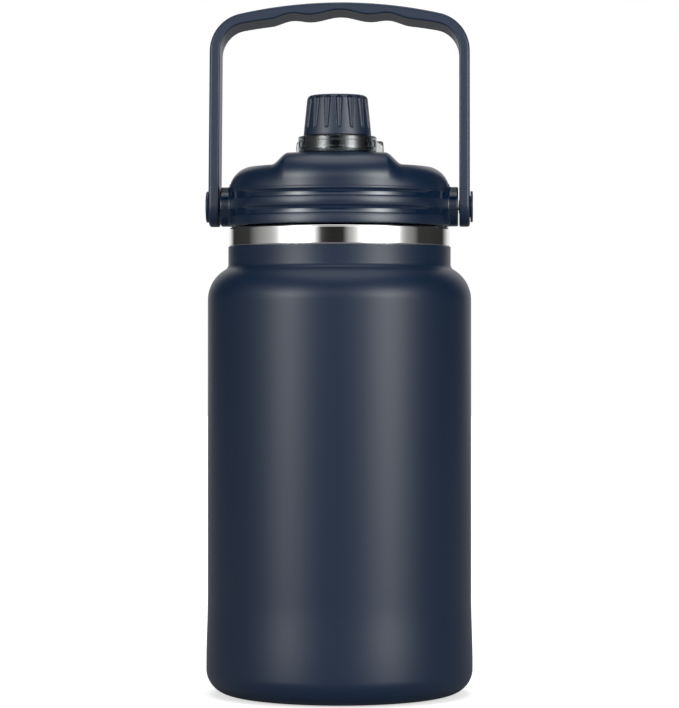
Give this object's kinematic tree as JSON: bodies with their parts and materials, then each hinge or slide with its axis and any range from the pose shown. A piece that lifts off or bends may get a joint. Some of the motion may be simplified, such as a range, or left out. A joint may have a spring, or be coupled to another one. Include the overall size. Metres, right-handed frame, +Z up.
{
  "type": "large insulated water jug",
  "caption": "Large vacuum-insulated steel water jug with a screw lid, flip-up spout cap, drinking straw and swinging carry handle.",
  "frame": {"origin": "centre of the base on the surface that the jug stands on", "axes": "+Z up the jug's axis, -Y towards the spout, X along the handle's pivot axis"},
  "size_m": [0.1526, 0.1524, 0.396],
  "materials": {
    "navy_coat": "matte powder coat",
    "navy_plastic": "satin moulded polypropylene",
    "polished_steel": "polished stainless steel",
    "brushed_steel": "brushed stainless steel",
    "grey_silicone": "matte silicone",
    "clear_silicone": "translucent silicone",
    "smoky_plastic": "glossy smoky clear plastic",
    "white_plastic": "white satin plastic",
    "foam": "insulating foam"
  },
  "bodies": {
    "bottle": {"outer_shell": "navy_coat", "base_plate": "navy_coat", "base_cover_disc": "navy_coat", "base_grip_ring": "grey_silicone", "vacuum_port_seal": "brushed_steel", "getter_capsule": "brushed_steel", "neck_collar": "polished_steel", "inner_liner": "brushed_steel"},
    "lid_seal": {"lid_gasket": "clear_silicone"},
    "lid": {"lid_shell": "navy_plastic", "lid_thread_liner": "navy_plastic", "lid_foam_core": "foam", "hinge_pin": "polished_steel", "spout": "navy_plastic", "spout_seal": "clear_silicone", "straw_holder": "navy_plastic", "straw_mouthpiece": "white_plastic", "straw_tube": "white_plastic", "pivot_screw_left": "polished_steel", "pivot_screw_right": "polished_steel", "pivot_bush_left": "brushed_steel", "pivot_bush_right": "brushed_steel"},
    "carrier": {"cap_carrier": "smoky_plastic"},
    "cap": {"cap_shell": "navy_plastic", "cap_top_disc": "navy_plastic", "cap_gasket": "clear_silicone", "cap_snap_ring": "navy_plastic"},
    "handle": {"handle_bail": "navy_plastic", "pivot_cover_left": "navy_plastic", "pivot_cover_right": "navy_plastic"}
  },
  "joints": [
    {"name": "lid_lift", "type": "slide", "parent": "bottle", "child": "lid_seal", "axis": [0, 0, 1], "range_m": [0, 0.29]},
    {"name": "lid_turn", "type": "hinge", "parent": "lid_seal", "child": "lid", "pos_m": [0, 0, 0.289], "axis": [0, 0, 1], "range_deg": [0, 540]},
    {"name": "handle_swing", "type": "hinge", "parent": "lid", "child": "handle", "pos_m": [0, 0, 0.2783], "axis": [1, 0, 0], "range_deg": [-122, 134]},
    {"name": "carrier_flip", "type": "hinge", "parent": "lid", "child": "carrier", "pos_m": [0, 0.009, 0.3123], "axis": [-1, 0, 0], "range_deg": [0, 155]},
    {"name": "cap_turn", "type": "hinge", "parent": "carrier", "child": "cap", "pos_m": [0, -0.03, 0.3123], "axis": [0, 0, 1], "range_deg": [0, 180]}
  ]
}
